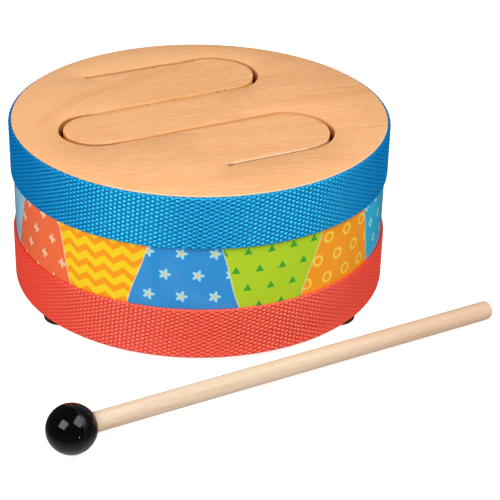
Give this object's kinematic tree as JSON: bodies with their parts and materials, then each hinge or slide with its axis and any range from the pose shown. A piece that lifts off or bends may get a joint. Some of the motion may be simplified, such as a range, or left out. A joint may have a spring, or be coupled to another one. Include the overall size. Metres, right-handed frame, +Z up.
{
  "type": "tongue drum",
  "caption": "Round wooden tongue drum with serpentine-slotted beech top, webbing bands, printed shell sleeve and rubber feet, with a ball-headed beater.",
  "frame": {"origin": "on the surface that the drum and the beater stand on, under the middle of their common box; the drum's axis is at x = -0.0291, y = 0.045", "axes": "+Z up along the drum's axis; +Y from the beater towards the back of the drum; +X to the right, towards the beater's grip end"},
  "size_m": [0.2674, 0.2992, 0.0972],
  "materials": {
    "beech_plywood": "sanded and lightly lacquered beech plywood",
    "inner_plywood": "bare plywood",
    "blue_webbing": "woven polypropylene webbing",
    "red_webbing": "woven polypropylene webbing",
    "print_film": "printed and laminated film",
    "black_rubber": "moulded",
    "zinc_steel": "zinc plated",
    "pale_beech": "bare sanded dowel",
    "black_plastic": "polished"
  },
  "bodies": {
    "drum": {"soundboard": "beech_plywood", "shell_hoop": "inner_plywood", "top_lining_hoop": "inner_plywood", "bottom_lining_hoop": "inner_plywood", "base_board": "inner_plywood", "printed_sleeve": "print_film", "upper_webbing": "blue_webbing", "lower_webbing": "red_webbing", "foot_front_left": "black_rubber", "foot_front_right": "black_rubber", "foot_rear_left": "black_rubber", "foot_rear_right": "black_rubber", "foot_washer_front_left": "zinc_steel", "foot_washer_front_right": "zinc_steel", "foot_washer_rear_left": "zinc_steel", "foot_washer_rear_right": "zinc_steel", "foot_screw_front_left": "zinc_steel", "foot_screw_front_right": "zinc_steel", "foot_screw_rear_left": "zinc_steel", "foot_screw_rear_right": "zinc_steel"},
    "tongue_rear": {"rear_tongue": "beech_plywood"},
    "tongue_middle": {"middle_tongue": "beech_plywood"},
    "tongue_front": {"front_tongue": "beech_plywood"},
    "mallet": {"mallet_stick": "pale_beech", "mallet_head": "black_plastic"}
  },
  "joints": [
    {"name": "rear_tongue_flex", "type": "hinge", "parent": "drum", "child": "tongue_rear", "pos_m": [-0.08013, 0.07008, 0.0937], "axis": [-0.4741, 0.8805, 0], "range_deg": [-1, 1], "stiffness_Nm_per_rad": 5.5},
    {"name": "middle_tongue_flex", "type": "hinge", "parent": "drum", "child": "tongue_middle", "pos_m": [-0.0176, 0.05309, 0.0937], "axis": [0.4741, -0.8805, 0], "range_deg": [-1, 1], "stiffness_Nm_per_rad": 5.5},
    {"name": "front_tongue_flex", "type": "hinge", "parent": "drum", "child": "tongue_front", "pos_m": [-0.02028, 0.00111, 0.0937], "axis": [-0.4741, 0.8805, 0], "range_deg": [-1, 1], "stiffness_Nm_per_rad": 3},
    {"name": "mallet_lift", "type": "slide", "parent": "drum", "child": "mallet", "axis": [0, 0, 1], "range_m": [0, 0.15]}
  ]
}
